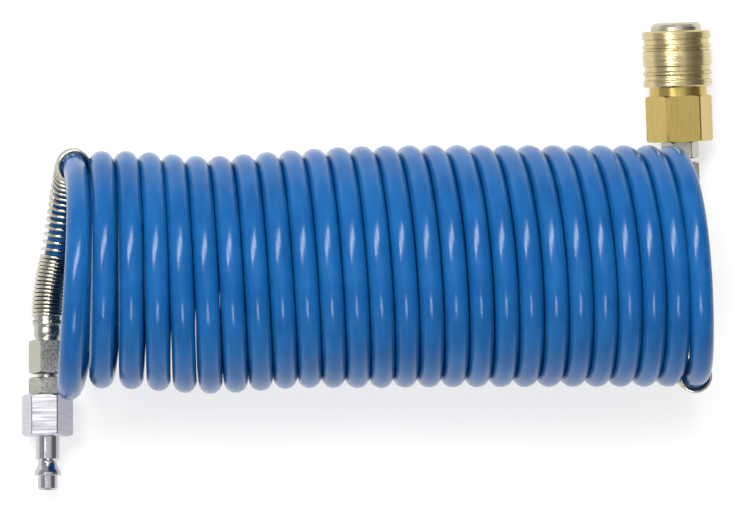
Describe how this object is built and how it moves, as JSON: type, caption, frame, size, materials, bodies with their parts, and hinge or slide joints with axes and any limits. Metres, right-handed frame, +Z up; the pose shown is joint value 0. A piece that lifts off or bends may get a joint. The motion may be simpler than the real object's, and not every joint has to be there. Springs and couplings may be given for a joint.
{
  "type": "coiled air hose",
  "caption": "Coiled blue air hose lying on its side, with spring guards, swivel hose ends, a steel quick plug at one end and a brass socket coupler at the other.",
  "frame": {"origin": "middle of the footprint on the table", "axes": "+X along the coil's axis from the plug end to the coupler end, +Y from the plug towards the coupler, +Z up"},
  "size_m": [0.2931, 0.1982, 0.102],
  "materials": {
    "hose": "glossy smooth extruded tube",
    "spring_steel": "bright drawn wire",
    "nickel_plate": "satin nickel plate",
    "zinc_steel": "pale zinc plate, turned",
    "brass": "turned, lightly polished",
    "bearing_steel": "polished balls",
    "rubber": "moulded nitrile",
    "nylon": "moulded"
  },
  "bodies": {
    "hose": {"hose_coil": "hose", "plug_hose_tail": "hose", "plug_spring_guard": "spring_steel", "plug_crimp_collar": "nickel_plate", "plug_hose_insert": "brass", "plug_swivel_nut": "nickel_plate", "plug_swivel_circlip": "spring_steel"},
    "plug_end": {"plug_swivel_stem": "nickel_plate", "plug_swivel_o_ring": "rubber", "plug_thread_gasket": "nylon", "quick_plug": "zinc_steel"},
    "coupler_hose_end": {"coupler_hose_tail": "hose", "coupler_spring_guard": "spring_steel", "coupler_crimp_collar": "nickel_plate", "coupler_hose_insert": "brass", "coupler_swivel_nut": "nickel_plate", "coupler_swivel_circlip": "spring_steel"},
    "coupler_end": {"coupler_swivel_stem": "nickel_plate", "coupler_swivel_o_ring": "rubber", "coupler_thread_gasket": "nylon", "coupler_rear_body": "brass", "ball_cage": "zinc_steel", "socket_seal": "rubber", "sleeve_spring": "spring_steel", "valve_spring": "spring_steel"},
    "sleeve": {"locking_sleeve": "brass"},
    "valve": {"valve_poppet": "brass"},
    "ball_1": {"locking_ball_1": "bearing_steel"},
    "ball_2": {"locking_ball_2": "bearing_steel"},
    "ball_3": {"locking_ball_3": "bearing_steel"},
    "ball_4": {"locking_ball_4": "bearing_steel"},
    "ball_5": {"locking_ball_5": "bearing_steel"},
    "ball_6": {"locking_ball_6": "bearing_steel"}
  },
  "joints": [
    {"name": "plug_swivel", "type": "hinge", "parent": "hose", "child": "plug_end", "pos_m": [-0.1358, -0.05112, 0.00993], "axis": [0, -0.9976, 0.0698], "continuous": true},
    {"name": "coil_stretch", "type": "slide", "parent": "hose", "child": "coupler_hose_end", "axis": [1, 0, 0], "range_m": [0, 1.2], "stiffness_N_per_m": 12},
    {"name": "coupler_swivel", "type": "hinge", "parent": "coupler_hose_end", "child": "coupler_end", "pos_m": [0.13273, 0.03961, 0.01376], "axis": [-0.0399, 0.9986, 0.035], "continuous": true},
    {"name": "sleeve_slide", "type": "slide", "parent": "coupler_end", "child": "sleeve", "axis": [0.0399, -0.9986, -0.035], "range_m": [0, 0.0035], "stiffness_N_per_m": 2500, "springref_m": -0.004, "deforming": ["sleeve_spring"]},
    {"name": "valve_slide", "type": "slide", "parent": "coupler_end", "child": "valve", "axis": [0.0399, -0.9986, -0.035], "range_m": [0, 0.005], "stiffness_N_per_m": 900, "springref_m": -0.004, "deforming": ["valve_spring"]},
    {"name": "ball_1_release", "type": "slide", "parent": "coupler_end", "child": "ball_1", "axis": [-0.9992, -0.0399, 0], "range_m": [0, 0.00105]},
    {"name": "ball_2_release", "type": "slide", "parent": "coupler_end", "child": "ball_2", "axis": [-0.4984, -0.0502, 0.8655], "range_m": [0, 0.00105]},
    {"name": "ball_3_release", "type": "slide", "parent": "coupler_end", "child": "ball_3", "axis": [0.5008, -0.0103, 0.8655], "range_m": [0, 0.00105]},
    {"name": "ball_4_release", "type": "slide", "parent": "coupler_end", "child": "ball_4", "axis": [0.9992, 0.0399, 0], "range_m": [0, 0.00105]},
    {"name": "ball_5_release", "type": "slide", "parent": "coupler_end", "child": "ball_5", "axis": [0.4984, 0.0502, -0.8655], "range_m": [0, 0.00105]},
    {"name": "ball_6_release", "type": "slide", "parent": "coupler_end", "child": "ball_6", "axis": [-0.5008, 0.0103, -0.8655], "range_m": [0, 0.00105]}
  ],
  "couplings": [
    {"joint": "ball_1_release", "follows": "sleeve_slide", "ratio": 0.3},
    {"joint": "ball_2_release", "follows": "sleeve_slide", "ratio": 0.3},
    {"joint": "ball_3_release", "follows": "sleeve_slide", "ratio": 0.3},
    {"joint": "ball_4_release", "follows": "sleeve_slide", "ratio": 0.3},
    {"joint": "ball_5_release", "follows": "sleeve_slide", "ratio": 0.3},
    {"joint": "ball_6_release", "follows": "sleeve_slide", "ratio": 0.3}
  ]
}
